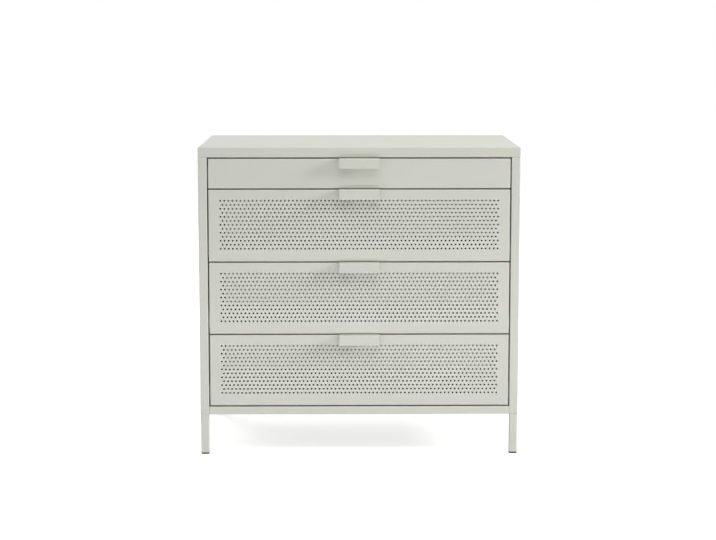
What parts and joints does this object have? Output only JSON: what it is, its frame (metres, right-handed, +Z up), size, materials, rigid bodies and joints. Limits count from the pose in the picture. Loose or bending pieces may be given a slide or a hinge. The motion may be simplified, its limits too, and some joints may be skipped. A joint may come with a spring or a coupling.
{
  "type": "drawer cabinet",
  "caption": "Low steel cabinet on square legs with a shallow plain drawer over deep perforated ones, each with a folded tab handle and ball-bearing slides.",
  "frame": {"origin": "on the floor, under the middle of the whole cabinet with its handles", "axes": "+X to the right, +Y to the back, +Z up; the drawers' fronts face -Y"},
  "size_m": [0.8, 0.472, 0.776],
  "materials": {
    "powder_coat": "satin powder coat",
    "zinc_steel": "bright zinc plate",
    "foot_plastic": "moulded black plastic"
  },
  "bodies": {
    "cabinet": {"cap": "powder_coat", "left_side_panel": "powder_coat", "right_side_panel": "powder_coat", "back_panel": "powder_coat", "floor_panel": "powder_coat", "front_left_leg": "powder_coat", "front_right_leg": "powder_coat", "back_left_leg": "powder_coat", "back_right_leg": "powder_coat", "front_left_foot": "foot_plastic", "front_right_foot": "foot_plastic", "back_left_foot": "foot_plastic", "back_right_foot": "foot_plastic", "panel_screws": "zinc_steel", "slide_screws": "zinc_steel", "drawer_1_left_channel": "zinc_steel", "drawer_1_right_channel": "zinc_steel", "drawer_2_left_channel": "zinc_steel", "drawer_2_right_channel": "zinc_steel", "drawer_3_left_channel": "zinc_steel", "drawer_3_right_channel": "zinc_steel", "drawer_4_left_channel": "zinc_steel", "drawer_4_right_channel": "zinc_steel"},
    "drawer_1": {"drawer_1_front": "powder_coat", "drawer_1_tray": "powder_coat", "drawer_1_back": "powder_coat", "drawer_1_handle": "powder_coat", "drawer_1_screws": "zinc_steel", "drawer_1_left_rail": "zinc_steel", "drawer_1_right_rail": "zinc_steel"},
    "drawer_1_cages": {"drawer_1_left_cage": "zinc_steel", "drawer_1_right_cage": "zinc_steel"},
    "drawer_2": {"drawer_2_front": "powder_coat", "drawer_2_tray": "powder_coat", "drawer_2_back": "powder_coat", "drawer_2_handle": "powder_coat", "drawer_2_screws": "zinc_steel", "drawer_2_left_rail": "zinc_steel", "drawer_2_right_rail": "zinc_steel"},
    "drawer_2_cages": {"drawer_2_left_cage": "zinc_steel", "drawer_2_right_cage": "zinc_steel"},
    "drawer_3": {"drawer_3_front": "powder_coat", "drawer_3_tray": "powder_coat", "drawer_3_back": "powder_coat", "drawer_3_handle": "powder_coat", "drawer_3_screws": "zinc_steel", "drawer_3_left_rail": "zinc_steel", "drawer_3_right_rail": "zinc_steel"},
    "drawer_3_cages": {"drawer_3_left_cage": "zinc_steel", "drawer_3_right_cage": "zinc_steel"},
    "drawer_4": {"drawer_4_front": "powder_coat", "drawer_4_tray": "powder_coat", "drawer_4_back": "powder_coat", "drawer_4_handle": "powder_coat", "drawer_4_screws": "zinc_steel", "drawer_4_left_rail": "zinc_steel", "drawer_4_right_rail": "zinc_steel"},
    "drawer_4_cages": {"drawer_4_left_cage": "zinc_steel", "drawer_4_right_cage": "zinc_steel"}
  },
  "joints": [
    {"name": "drawer_1_slide", "type": "slide", "parent": "cabinet", "child": "drawer_1", "axis": [0, -1, 0], "range_m": [0, 0.3]},
    {"name": "drawer_1_cage_slide", "type": "slide", "parent": "cabinet", "child": "drawer_1_cages", "axis": [0, -1, 0], "range_m": [0, 0.15]},
    {"name": "drawer_2_slide", "type": "slide", "parent": "cabinet", "child": "drawer_2", "axis": [0, -1, 0], "range_m": [0, 0.3]},
    {"name": "drawer_2_cage_slide", "type": "slide", "parent": "cabinet", "child": "drawer_2_cages", "axis": [0, -1, 0], "range_m": [0, 0.15]},
    {"name": "drawer_3_slide", "type": "slide", "parent": "cabinet", "child": "drawer_3", "axis": [0, -1, 0], "range_m": [0, 0.3]},
    {"name": "drawer_3_cage_slide", "type": "slide", "parent": "cabinet", "child": "drawer_3_cages", "axis": [0, -1, 0], "range_m": [0, 0.15]},
    {"name": "drawer_4_slide", "type": "slide", "parent": "cabinet", "child": "drawer_4", "axis": [0, -1, 0], "range_m": [0, 0.3]},
    {"name": "drawer_4_cage_slide", "type": "slide", "parent": "cabinet", "child": "drawer_4_cages", "axis": [0, -1, 0], "range_m": [0, 0.15]}
  ],
  "couplings": [
    {"joint": "drawer_1_cage_slide", "follows": "drawer_1_slide", "ratio": 0.5},
    {"joint": "drawer_2_cage_slide", "follows": "drawer_2_slide", "ratio": 0.5},
    {"joint": "drawer_3_cage_slide", "follows": "drawer_3_slide", "ratio": 0.5},
    {"joint": "drawer_4_cage_slide", "follows": "drawer_4_slide", "ratio": 0.5}
  ]
}
